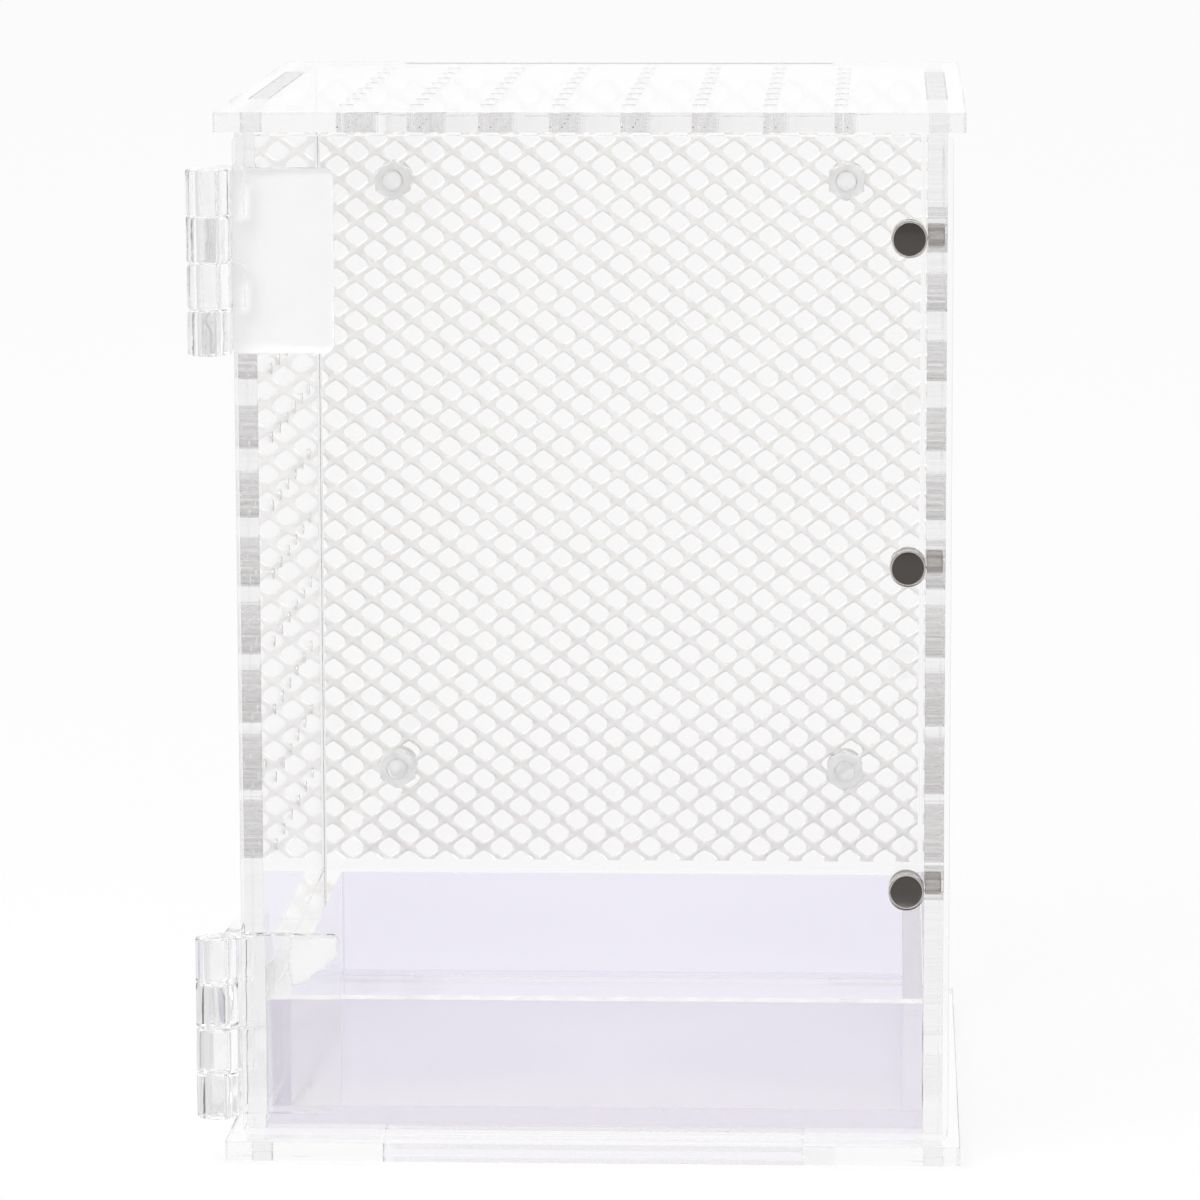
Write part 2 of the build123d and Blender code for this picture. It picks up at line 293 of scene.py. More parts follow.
lavender_face = polished_face_material("lavender_face", (0.918, 0.90, 0.998), haze=0.0)
lavender_floor_face = polished_face_material("lavender_floor_face", (0.955, 0.94, 0.99), haze=0.0)
lavender_edge_tint = (0.925, 0.905, 0.975)
deep_edge_tint = (0.76, 0.735, 0.83)
well_edge_break = 0.00003


def front_sheet_material(name, tint, haze):
    """Tinted and hazy acrylic above the base plate, clear and polished where its tab enters it."""
    material, tree, surface = acrylic_material(name, haze)
    where = tree.nodes.new("ShaderNodeTexCoord")
    parts = tree.nodes.new("ShaderNodeSeparateXYZ")
    tree.links.new(where.outputs["Object"], parts.inputs[0])
    above = tree.nodes.new("ShaderNodeMath")
    above.operation = "GREATER_THAN"
    above.inputs[1].default_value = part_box("base_plate")[1].z
    tree.links.new(parts.outputs["Z"], above.inputs[0])
    rough = tree.nodes.new("ShaderNodeMath")
    rough.operation = "MULTIPLY"
    rough.inputs[1].default_value = haze
    tree.links.new(above.outputs[0], rough.inputs[0])
    tree.links.new(rough.outputs[0], surface.inputs["Roughness"])
    tone = tree.nodes.new("ShaderNodeMix")
    tone.data_type = "RGBA"
    tone.inputs["A"].default_value = (1, 1, 1, 1)
    tone.inputs["B"].default_value = (*tint, 1)
    tree.links.new(above.outputs[0], tone.inputs["Factor"])
    tree.links.new(tone.outputs["Result"], surface.inputs["Base Color"])
    return material


grey_front_face = front_sheet_material("grey_front_face", (0.89, 0.872, 0.895), haze=0.2)
for node, axis, face_material, edge_tint in (
    ("well_front", 1, grey_front_face, lavender_edge_tint),
    ("well_floor", 2, lavender_floor_face, lavender_edge_tint),
    ("well_left", 0, lavender_face, deep_edge_tint),
    ("well_right", 0, lavender_face, lavender_edge_tint),
    ("well_back", 1, lavender_face, lavender_edge_tint),
):
    across = [float(k == axis) for k in range(3)]
    # The cutting lines of the well's edges carry a faint painted shade.
    edge_material = cut_edge_material(node + "_edge", across, edge_tint, haze=0.08, stripe_shade=0.97)
    cut_sheet(node, axis, "case", (face_material, edge_material), well_edge_break)


# The side walls are clear acrylic with a tab at each end and a grid of small air holes. The
# right one has three more holes near its front edge, for magnets.

# The side walls' edges, and still more their small holes, get a stronger painted shade in their cutting
# lines than the other sheets.
wall_edge_stripe_shade = cut_edge_material("wall_edge_stripe_shade", (1, 0, 0), clear_edge_tint, haze=0.02, stripe_shade=0.85)
hole_wall_stripe_shade = cut_edge_material("hole_wall_stripe_shade", (1, 0, 0), (0.95, 0.94, 0.93), haze=0.2, stripe_shade=0.6)
wall_materials = (clear_face, wall_edge_stripe_shade, hole_wall_stripe_shade)
cut_sheet("left_wall", 0, "case", wall_materials, clear_edge_break)
cut_sheet("right_wall", 0, "case", wall_materials, clear_edge_break)


# The back panel is a full sheet of clear acrylic between the side walls, laser cut like them.
# Its tabs stand in the base plate and the roof, and it carries the mesh.

clear_upright = (clear_face, clear_edges[1], clear_edges[1])
cut_sheet("back_panel", 1, "case", clear_upright, clear_edge_break)


# The climbing mesh is pale metal, slit and drawn out into diamonds, then cut to size through
# its cells. The pitch of the cells wanders a little across the sheet.

mesh_low, mesh_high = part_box("back_mesh")
mesh_first_x = -0.04585
mesh_first_z = 0.02586
mesh_half_pitch_x = 0.003015
mesh_half_pitch_z = 0.00221
mesh_narrowing = 0.0000033
mesh_lean = 0.0000357
mesh_rise = 0.0000257
mesh_strand = 0.00081
mesh_opening_half_width = 0.00178
mesh_opening_half_height = 0.00177
mesh_corner_sharpness = 12
mesh_rise_rows = 60
mesh_ring_steps = 20
mesh_flat_share = 0.6
mesh_crown = 0.00009
mesh_tilt = 0.0001
mesh_tilt_direction = Vector((0.59, 0.81))
mesh_tilt_reach = 0.001
mesh_back_relief = 0.2


def lattice_point(i, j):
    """The place of a mesh cell's centre or corner, counted in half pitches."""
    x = mesh_first_x + mesh_half_pitch_x * i - mesh_narrowing * i * i + mesh_lean * j
    z = mesh_first_z + mesh_half_pitch_z * j + mesh_rise * i * (1 - j / mesh_rise_rows)
    return Vector((x, z))


def opening_point(centre, angle):
    """A point on a cell's opening: a diamond between its strands, with blunt and rounded corners."""
    slant = hypot(mesh_half_pitch_x, mesh_half_pitch_z)
    side = mesh_half_pitch_x * mesh_half_pitch_z / slant - mesh_strand / 2
    across, up = abs(cos(angle)), abs(sin(angle))
    presses = (
        (across * mesh_half_pitch_z + up * mesh_half_pitch_x) / slant / side,
        across / mesh_opening_half_width,
        up / mesh_opening_half_height,
    )
    reach = sum(press ** mesh_corner_sharpness for press in presses) ** (-1 / mesh_corner_sharpness)
    return centre + Vector((cos(angle), sin(angle))) * reach


def mesh_sheet():
    """The whole mesh as rings around its openings, cut to the sheet's box and given its thickness."""
    built = bmesh.new()
    quarter = mesh_ring_steps // 4
    front_y = mesh_low.y
    columns = int((mesh_high.x - mesh_low.x) / mesh_half_pitch_x) + 4
    rows = int((mesh_high.z - mesh_low.z) / mesh_half_pitch_z) + 4
    for i in range(-2, columns):
        for j in range(-2, rows):
            if (i + j) % 2 == 0:
                continue
            centre = lattice_point(i, j)
            corners = [lattice_point(i + a, j + b) for a, b in ((1, 0), (0, 1), (-1, 0), (0, -1))]
            outer, inner = [], []
            for step in range(mesh_ring_steps):
                side, share = divmod(step, quarter)
                edge = corners[side].lerp(corners[(side + 1) % 4], share / quarter)
                outer.append(edge)
                inner.append(opening_point(centre, atan2(edge.y - centre.y, edge.x - centre.x)))
            rings = []
            for share, depth in ((0, 0.0), (mesh_flat_share, 0.0), (1, mesh_crown)):
                ring = []
                for a, b in zip(outer, inner):
                    point = a.lerp(b, share)
                    toward = (point - a).dot(mesh_tilt_direction) / mesh_tilt_reach
                    y = front_y + mesh_crown + depth - mesh_tilt * toward * share
                    ring.append(built.verts.new((point.x, max(y, front_y), point.y)))
                rings.append(ring)
            for first, second in zip(rings, rings[1:]):
                for k in range(mesh_ring_steps):
                    n = (k + 1) % mesh_ring_steps
                    built.faces.new((first[k], first[n], second[n], second[k]))
    bmesh.ops.remove_doubles(built, verts=built.verts, dist=2 * weld_distance)
    for point, outward in (
        ((mesh_low.x, 0, 0), (-1, 0, 0)),
        ((mesh_high.x, 0, 0), (1, 0, 0)),
        ((0, 0, mesh_low.z), (0, 0, -1)),
        ((0, 0, mesh_high.z), (0, 0, 1)),
    ):
        bmesh.ops.bisect_plane(
            built, geom=built.verts[:] + built.edges[:] + built.faces[:],
            plane_co=point, plane_no=outward, clear_outer=True, dist=fine_weld_distance,
        )
    drawn = bmesh.ops.extrude_face_region(built, geom=built.faces[:])
    for element in drawn["geom"]:
        if isinstance(element, bmesh.types.BMVert):
            element.co.y = mesh_high.y - (element.co.y - front_y) * mesh_back_relief
    bmesh.ops.recalc_face_normals(built, faces=built.faces[:])
    return piece_from(built, "climbing_mesh")


def smooth_below(piece, degrees):
    """Shades a piece smooth, except across edges sharper than this."""
    built = bmesh.new()
    built.from_mesh(piece.data)
    for face in built.faces:
        face.smooth = True
    for edge in built.edges:
        edge.smooth = len(edge.link_faces) == 2 and edge.calc_face_angle(0.0) < radians(degrees)
    built.to_mesh(piece.data)
    built.free()


def satin_metal_material():
    """Pale satin metal with fine drawing marks and a little variation in tone."""
    material, tree, surface = new_material("mesh_metal")
    surface.inputs["Metallic"].default_value = 1.0
    where = tree.nodes.new("ShaderNodeTexCoord")
    tone = tree.nodes.new("ShaderNodeTexNoise")
    tone.inputs["Scale"].default_value = 700.0
    tone.inputs["Detail"].default_value = 4.0
    tree.links.new(where.outputs["Object"], tone.inputs["Vector"])
    colours = tree.nodes.new("ShaderNodeValToRGB")
    colours.color_ramp.elements[0].position = 0.3
    colours.color_ramp.elements[0].color = (0.84, 0.83, 0.805, 1)
    colours.color_ramp.elements[1].position = 0.7
    colours.color_ramp.elements[1].color = (0.94, 0.93, 0.905, 1)
    tree.links.new(tone.outputs["Fac"], colours.inputs["Fac"])
    tree.links.new(colours.outputs["Color"], surface.inputs["Base Color"])
    rough = tree.nodes.new("ShaderNodeMapRange")
    rough.inputs["To Min"].default_value = 0.3
    rough.inputs["To Max"].default_value = 0.45
    tree.links.new(tone.outputs["Fac"], rough.inputs["Value"])
    tree.links.new(rough.outputs["Result"], surface.inputs["Roughness"])
    grain = tree.nodes.new("ShaderNodeTexNoise")
    grain.inputs["Scale"].default_value = 6000.0
    tree.links.new(where.outputs["Object"], grain.inputs["Vector"])
    bump = tree.nodes.new("ShaderNodeBump")
    bump.inputs["Strength"].default_value = 0.3
    bump.inputs["Distance"].default_value = 0.00003
    tree.links.new(grain.outputs["Fac"], bump.inputs["Height"])
    tree.links.new(bump.outputs["Normal"], surface.inputs["Normal"])
    return material


climbing_mesh = mesh_sheet()
smooth_below(climbing_mesh, degrees=35)
climbing_mesh.data.materials.append(satin_metal_material())
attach(climbing_mesh, "case")
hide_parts("back_mesh")


# Four moulded screws come through the panel and the mesh from behind, each held by a hexagon
# nut inside. They are translucent plastic.

def moulded_material(name, tint, roughness):
    """Clear moulded plastic with faint flow marks."""
    material, tree, surface = new_material(name)
    surface.inputs["Base Color"].default_value = (*tint, 1)
    surface.inputs["IOR"].default_value = moulded_ior
    surface.inputs["Transmission Weight"].default_value = 1.0
    surface.inputs["Roughness"].default_value = roughness
    where = tree.nodes.new("ShaderNodeTexCoord")
    flow = tree.nodes.new("ShaderNodeTexNoise")
    flow.inputs["Scale"].default_value = 260.0
    flow.inputs["Detail"].default_value = 1.0
    tree.links.new(where.outputs["Object"], flow.inputs["Vector"])
    bump = tree.nodes.new("ShaderNodeBump")
    bump.inputs["Strength"].default_value = 0.4
    bump.inputs["Distance"].default_value = 0.0002
    tree.links.new(flow.outputs["Fac"], bump.inputs["Height"])
    tree.links.new(bump.outputs["Normal"], surface.inputs["Normal"])
    return material


moulded_ior = 1.5
fastener_plastic = moulded_material("fastener_plastic", (0.95, 0.95, 0.95), roughness=0.12)
fastener_plastic.node_tree.nodes["Principled BSDF"].inputs["Transmission Weight"].default_value = 0.6
shank_radius = 0.0015
thread_depth = 0.00022
thread_pitch = 0.0005
thread_crest_end = 0.2
thread_root_start = 0.6
thread_root_end = 0.7
shank_end_chamfer = 0.00035
head_radius = 0.0028
head_height = 0.002
head_thickness_at_rim = 0.0006
dome_steps = 8
turned_steps = 48
recess_width = 0.0008
recess_depth = 0.0011
recess_length = 0.003
recess_overshoot = 0.0002
nut_steps = 72
nut_half_width = 0.00275
nut_height = 0.0024
nut_face_radius = 0.0026
nut_bore_radius = 0.00155
nut_countersink = 0.00022
nut_chamfer_slope = 0.55
screw_y_start, screw_y_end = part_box("mesh_screws")[0].y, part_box("mesh_screws")[1].y
nut_y_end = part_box("mesh_nuts")[1].y


def lathed(name, profile, steps):
    """A closed ring or disc turned about Z from (radius, height) points."""
    built = bmesh.new()
    rings = []
    for radius, height in profile:
        rings.append([
            built.verts.new((radius * cos(2 * pi * k / steps), radius * sin(2 * pi * k / steps), height))
            for k in range(steps)
        ])
    for first, second in zip(rings, rings[1:] + rings[:1]):
        for k in range(steps):
            n = (k + 1) % steps
            built.faces.new((first[k], first[n], second[n], second[k]))
    bmesh.ops.remove_doubles(built, verts=built.verts, dist=fine_weld_distance)
    bmesh.ops.recalc_face_normals(built, faces=built.faces[:])
    return piece_from(built, name)


def joined_solid(base, others, operation):
    """One piece united with others, or with the others cut out of it. The others are used up."""
    for other in others:
        step = base.modifiers.new(operation, "BOOLEAN")
        step.operation = operation
        step.solver = "EXACT"
        step.object = other
    bpy.context.view_layer.update()
    evaluated = base.evaluated_get(bpy.context.evaluated_depsgraph_get())
    mesh = bpy.data.meshes.new_from_object(evaluated)
    mesh.validate()
    base.modifiers.clear()
    base.data = mesh
    for other in others:
        bpy.data.objects.remove(other)
    return base


def block(name, half_sizes, centre, rounding):
    """A block to join or to cut with, with its edges rounded if asked."""
    built = bmesh.new()
    bmesh.ops.create_cube(built, size=2.0)
    bmesh.ops.scale(built, vec=half_sizes, verts=built.verts)
    bmesh.ops.translate(built, vec=centre, verts=built.verts)
    if rounding:
        bmesh.ops.bevel(
            built, geom=built.edges[:], offset=rounding, segments=3, profile=0.5, affect="EDGES",
        )
    return piece_from(built, name)


def screw():
    """A screw along +Z from its blunt end to its domed head with a cross recess."""
    length = screw_y_end - screw_y_start
    shank = length - head_height
    profile = [(0, 0), (shank_radius - shank_end_chamfer, 0)]
    height = shank_end_chamfer
    while height + thread_pitch < shank - thread_pitch:
        profile.append((shank_radius, height))
        profile.append((shank_radius, height + thread_pitch * thread_crest_end))
        profile.append((shank_radius - thread_depth, height + thread_pitch * thread_root_start))
        profile.append((shank_radius - thread_depth, height + thread_pitch * thread_root_end))
        height += thread_pitch
    profile += [(shank_radius, height), (shank_radius, shank), (head_radius, shank)]
    dome = head_height - head_thickness_at_rim
    for k in range(dome_steps + 1):
        angle = pi / 2 * k / dome_steps
        profile.append((head_radius * cos(angle), shank + head_thickness_at_rim + dome * sin(angle)))
    body = lathed("screw", profile, turned_steps)
    depth_centre = length - recess_depth / 2 + recess_overshoot
    depth_half = recess_depth / 2 + recess_overshoot
    arms = [
        block("arm", (recess_length / 2, recess_width / 2, depth_half), (0, 0, depth_centre), 0),
        block("arm", (recess_width / 2, recess_length / 2, depth_half), (0, 0, depth_centre), 0),
    ]
    return joined_solid(body, arms, "DIFFERENCE")


def nut():
    """A hexagon nut along Z with both of its faces chamfered to a circle and a countersunk bore."""
    built = bmesh.new()
    mouth = nut_bore_radius + nut_countersink
    columns = []
    for k in range(nut_steps):
        angle = 2 * pi * k / nut_steps
        reach = nut_half_width / cos((angle + pi / 6) % (pi / 3) - pi / 6)
        rise = (reach - nut_face_radius) * nut_chamfer_slope
        column = [
            (nut_bore_radius, nut_countersink), (mouth, 0), (nut_face_radius, 0),
            (reach, rise), (reach, nut_height - rise), (nut_face_radius, nut_height),
            (mouth, nut_height), (nut_bore_radius, nut_height - nut_countersink),
        ]
        columns.append([built.verts.new((r * cos(angle), r * sin(angle), z)) for r, z in column])
    for first, second in zip(columns, columns[1:] + columns[:1]):
        for k in range(len(first)):
            n = (k + 1) % len(first)
            built.faces.new((first[k], first[n], second[n], second[k]))
    bmesh.ops.recalc_face_normals(built, faces=built.faces[:])
    return piece_from(built, "nut")


def copies(name, make, places, turn):
    """One object that holds a copy of a made piece at each place."""
    built = bmesh.new()
    made = make()
    for place in places:
        part = made.data.copy()
        part.transform(Matrix.Translation(place) @ turn)
        built.from_mesh(part)
        bpy.data.meshes.remove(part)
    bpy.data.objects.remove(made)
    return piece_from(built, name)


screw_low, screw_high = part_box("mesh_screws")
screw_columns = (screw_low.x + head_radius, screw_high.x - head_radius)
screw_rows = (screw_low.z + head_radius, screw_high.z - head_radius)
screw_places = [(x, z) for x in screw_columns for z in screw_rows]
# Z of a made piece turns to +Y, so that the screw's head ends up behind the panel.
to_back = Matrix.Rotation(-pi / 2, 4, "X")
for name, node, make, y in (
    ("screws", "mesh_screws", screw, screw_y_start),
    ("nuts", "mesh_nuts", nut, nut_y_end - nut_height),
):
    piece = copies(name, make, [Vector((x, y, z)) for x, z in screw_places], to_back)
    smooth_below(piece, degrees=25)
    piece.data.materials.clear()
    piece.data.materials.append(fastener_plastic)
    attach(piece, "case")
    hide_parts(node)


# Six disc magnets with bright nickel plating, pressed into holes: three in the edge of the
# right wall, three in the door.

def nickel_material(name, tint):
    """Nickel plating with faint rubbed marks."""
    material, tree, surface = new_material(name)
    surface.inputs["Metallic"].default_value = 1.0
    surface.inputs["Base Color"].default_value = (*tint, 1)
    where = tree.nodes.new("ShaderNodeTexCoord")
    rubbed = tree.nodes.new("ShaderNodeTexNoise")
    rubbed.inputs["Scale"].default_value = 900.0
    tree.links.new(where.outputs["Object"], rubbed.inputs["Vector"])
    rough = tree.nodes.new("ShaderNodeMapRange")
    rough.inputs["To Min"].default_value = 0.06
    rough.inputs["To Max"].default_value = 0.2
    tree.links.new(rubbed.outputs["Fac"], rough.inputs["Value"])
    tree.links.new(rough.outputs["Result"], surface.inputs["Roughness"])
    return material


def disc_magnet(node, axis, body):
    """A disc magnet in the place of a node that lies along the axis, with its rims rounded."""
    low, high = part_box(node)
    middle = (low + high) / 2
    half = (high[axis] - low[axis]) / 2
    radius = (high.z - low.z) / 2
    profile = [(0, -half)]
    for side in (-1, 1):
        for k in range(magnet_rim_steps + 1):
            share = k / magnet_rim_steps
            angle = pi / 2 * (share if side > 0 else 1 - share)
            profile.append((
                radius - magnet_rim * (1 - cos(angle)), side * (half - magnet_rim * (1 - sin(angle)))
            ))
    profile.append((0, half))
    piece = lathed(node + "_disc", profile, round_steps)
    turn = Matrix.Rotation(pi / 2, 4, "Y") if axis == 0 else Matrix.Rotation(pi / 2, 4, "X")
    piece.data.transform(Matrix.Translation(middle) @ turn)
    smooth_below(piece, degrees=25)
    piece.data.materials.append(magnet_face)
    piece.data.materials.append(magnet_edge)
    for polygon in piece.data.polygons:
        polygon.material_index = 0 if abs(polygon.normal[axis]) > magnet_flat else 1
    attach(piece, body)
    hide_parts(node)


magnet_face = nickel_material("magnet_face", (0.585, 0.54, 0.51))
magnet_edge = nickel_material("magnet_edge", (0.50, 0.475, 0.45))
magnet_rim = 0.0003
magnet_rim_steps = 6
magnet_flat = 0.995
round_steps = 64
for height in ("upper", "middle", "lower"):
    disc_magnet("wall_magnet_" + height, 0, "case")


# The roof is clear acrylic like the base, laser cut with a grid of air holes. The tabs of the
# walls stand in its slots.

cut_sheet("top_plate", 2, "case", clear_level, clear_edge_break)


# The door is clear acrylic with rounded corners and three pressed in magnets. It swings on the
# hinges at its left edge.

cut_sheet("door_panel", 1, "door", clear_upright, clear_edge_break)
for height in ("upper", "middle", "lower"):
    disc_magnet("door_magnet_" + height, 1, "door")


# Two hinges of clear moulded plastic join the door and the left wall. Each has a leaf on the
# door, a leaf on the wall and a pin, and sits on a film of clear adhesive.

hinge_axis = Vector(frame["joints"][0]["pos_m"])
barrel_radius = 0.003
leaf_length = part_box("upper_hinge_door_leaf")[1].x - hinge_axis.x
leaf_height = 0.026
leaf_free_thickness = 0.0011
leaf_root_thickness = 0.0022
leaf_root = 0.0034
leaf_corner = 0.0013
knuckle_gap = 0.0002
knuckle_length = (leaf_height - 3 * knuckle_gap) / 4
notch_edge = 0.00335
root_block_start = 0.0016
root_block_end = 0.0052
root_block_front = -0.0006
root_block_back = 0.0029
root_block_shortening = 0.00002
root_block_rounding = 0.00025
leaf_corner_steps = 8
notch_thickness = 0.0015
notch_slope = 0.0005
knuckle_rounding = 0.0003
door_bore_radius = 0.00126
wall_bore_radius = 0.00122


def leaf_plate(name, knuckles):
    """The plate of a leaf along +X, notched where the other leaf's knuckles turn. It gets thinner
    towards its free end."""
    outline = []
    for number in range(4):
        start = number * (knuckle_length + knuckle_gap)
        low = start if number in knuckles else start - knuckle_gap
        high = start + knuckle_length if number in knuckles else start + knuckle_length + knuckle_gap
        edge = 0.0 if number in knuckles else notch_edge
        outline += [(edge, max(low, 0.0)), (edge, min(high, leaf_height))]
    for centre_z, first in ((leaf_height - leaf_corner, pi / 2), (leaf_corner, 0)):
        for k in range(leaf_corner_steps + 1):
            angle = first - k / leaf_corner_steps * pi / 2
            outline.append((
                leaf_length - leaf_corner + leaf_corner * cos(angle), centre_z + leaf_corner * sin(angle)
            ))
    built = bmesh.new()
    back = [built.verts.new((x, barrel_radius, z)) for x, z in outline]
    built.faces.new(back)
    bmesh.ops.remove_doubles(built, verts=built.verts, dist=fine_weld_distance)
    drawn = bmesh.ops.extrude_face_region(built, geom=built.faces[:])
    front = [element for element in drawn["geom"] if isinstance(element, bmesh.types.BMVert)]
    for vertex in front:
        vertex.co.y -= leaf_free_thickness
    bmesh.ops.bisect_plane(
        built, geom=built.verts[:] + built.edges[:] + built.faces[:],
        plane_co=(leaf_root, 0, 0), plane_no=(1, 0, 0), dist=fine_weld_distance,
    )
    for vertex in built.verts:
        if vertex.co.y < barrel_radius - leaf_free_thickness / 2:
            if vertex.co.x < leaf_root - notch_slope:
                vertex.co.y = barrel_radius - notch_thickness
            else:
                share = (leaf_length - vertex.co.x) / (leaf_length - leaf_root)
                vertex.co.y = barrel_radius - leaf_free_thickness - share * (
                    leaf_root_thickness - leaf_free_thickness
                )
    bmesh.ops.recalc_face_normals(built, faces=built.faces[:])
    return piece_from(built, name)


def hinge_leaf(name, knuckles, bore_radius):
    """One moulded leaf with two knuckles, standing on the XY plane with its barrel on the Z axis."""
    plate = leaf_plate(name, knuckles)
    inset = barrel_radius - knuckle_rounding
    tubes = []
    for number in knuckles:
        start = number * (knuckle_length + knuckle_gap)
        end = start + knuckle_length
        profile = [(bore_radius, start), (inset, start)]
        profile += [
            (inset + knuckle_rounding * sin(a), start + knuckle_rounding - knuckle_rounding * cos(a))
            for a in (pi / 8, pi / 4, 3 * pi / 8, pi / 2)
        ]
        profile += [
            (inset + knuckle_rounding * cos(a), end - knuckle_rounding + knuckle_rounding * sin(a))
            for a in (0, pi / 8, pi / 4, 3 * pi / 8)
        ]
        profile += [(inset, end), (bore_radius, end)]
        tubes.append(lathed("knuckle", profile, round_steps))
        tubes.append(block(
            "root",
            ((root_block_end - root_block_start) / 2, (root_block_back - root_block_front) / 2,
             (end - start) / 2 - root_block_shortening),
            ((root_block_end + root_block_start) / 2, (root_block_back + root_block_front) / 2,
             (end + start) / 2),
            root_block_rounding,
        ))
    return joined_solid(plate, tubes, "UNION")


hinge_plastic = moulded_material("hinge_plastic", (0.98, 0.98, 0.98), roughness=0.0)
pin_plastic = moulded_material("pin_plastic", (0.96, 0.96, 0.96), roughness=0.0)
adhesive = moulded_material("adhesive", (0.985, 0.985, 0.985), roughness=0.05)
milky_adhesive = moulded_material("milky_adhesive", (0.97, 0.965, 0.97), roughness=0.0)
milky_adhesive.node_tree.nodes["Principled BSDF"].inputs["Transmission Weight"].default_value = 0.12
set_adhesive = moulded_material("set_adhesive", (0.98, 0.975, 0.98), roughness=0.2)
set_adhesive.node_tree.nodes["Principled BSDF"].inputs["Transmission Weight"].default_value = 0.0
film_clearance = 0.00003
# The wall's leaf is the mirror image of the door's, turned to lie along the wall.
to_wall = Matrix.Rotation(pi / 2, 4, "Z") @ Matrix.Scale(-1, 4, (0, 1, 0))
for height in ("upper", "lower"):
    bottom_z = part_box(height + "_hinge_door_leaf")[0].z
    for side, knuckles, bore, turn, body in (
        ("door", (1, 3), door_bore_radius, Matrix.Identity(4), "door"),
        ("wall", (0, 2), wall_bore_radius, to_wall, "case"),
    ):
        node = height + "_hinge_" + side + "_leaf"
        leaf = hinge_leaf(node + "_moulded", knuckles, bore)
        leaf.data.transform(Matrix.Translation((hinge_axis.x, hinge_axis.y, bottom_z)) @ turn)
        if side == "wall":
            leaf.data.flip_normals()
        smooth_below(leaf, degrees=35)
        leaf.data.materials.clear()
        leaf.data.materials.append(hinge_plastic)
        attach(leaf, body)
        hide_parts(node)

        film_node = height + "_hinge_" + side + "_adhesive"
        low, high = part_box(film_node)
        film = frame["nodes"][film_node].data.copy()
        thin = 1 if side == "door" else 0
        middle = (low[thin] + high[thin]) / 2
        shrink = 1 - 2 * film_clearance / (high[thin] - low[thin])
        for vertex in film.vertices:
            vertex.co[thin] = middle + (vertex.co[thin] - middle) * shrink
        film.materials.clear()
        film.materials.append(milky_adhesive if height == "upper" else adhesive)
        pad = bpy.data.objects.new(film_node + "_film", film)
        bpy.context.scene.collection.objects.link(pad)
        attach(pad, body)
        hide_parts(film_node)
    pin_mesh = frame["nodes"][height + "_hinge_pin"].data
    pin_mesh.materials.clear()
    pin_mesh.materials.append(pin_plastic)

# The lower pad on the door has set milky only in one corner, in an irregular patch. Its corners
# are in millimetres from the pad's upper right corner.
patch_corners = ((-7.1, -0.7), (-0.6, -0.5), (-0.6, -3.5), (-5.2, -7.1), (-6.9, -7.7), (-7.6, -3.8))
patch_wave = 0.00015
patch_wave_turn_x = 2.3
patch_wave_turn_z = 1.7
patch_steps = 7
patch_half_thickness = 0.00003
patch_low, patch_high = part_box("lower_hinge_door_adhesive")
patch_y = (patch_low.y + patch_high.y) / 2
patch_line = []
for (u, v), (b, c) in zip(patch_corners, patch_corners[1:] + patch_corners[:1]):
    for k in range(patch_steps):
        share = k / patch_steps
        turn = len(patch_line)
        patch_line.append((
            patch_high.x + (u + (b - u) * share) / 1000 + patch_wave * sin(patch_wave_turn_x * turn),
            patch_high.z + (v + (c - v) * share) / 1000 + patch_wave * sin(patch_wave_turn_z * turn + 1),
        ))
built = bmesh.new()
built.faces.new([built.verts.new((x, patch_y - patch_half_thickness, z)) for x, z in patch_line])
drawn = bmesh.ops.extrude_face_region(built, geom=built.faces[:])
for element in drawn["geom"]:
    if isinstance(element, bmesh.types.BMVert):
        element.co.y = patch_y + patch_half_thickness
bmesh.ops.recalc_face_normals(built, faces=built.faces[:])
patch = piece_from(built, "milky_patch")
patch.data.materials.append(set_adhesive)
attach(patch, "door")


# The floor is a plain pale ground just under the base plate. It shows white and keeps a faint
# shadow of the box.

flag_start = 0.68
flag_full = 0.85
front_start = -0.85
front_full = -0.95
front_near = 0.12
front_far = 0.18


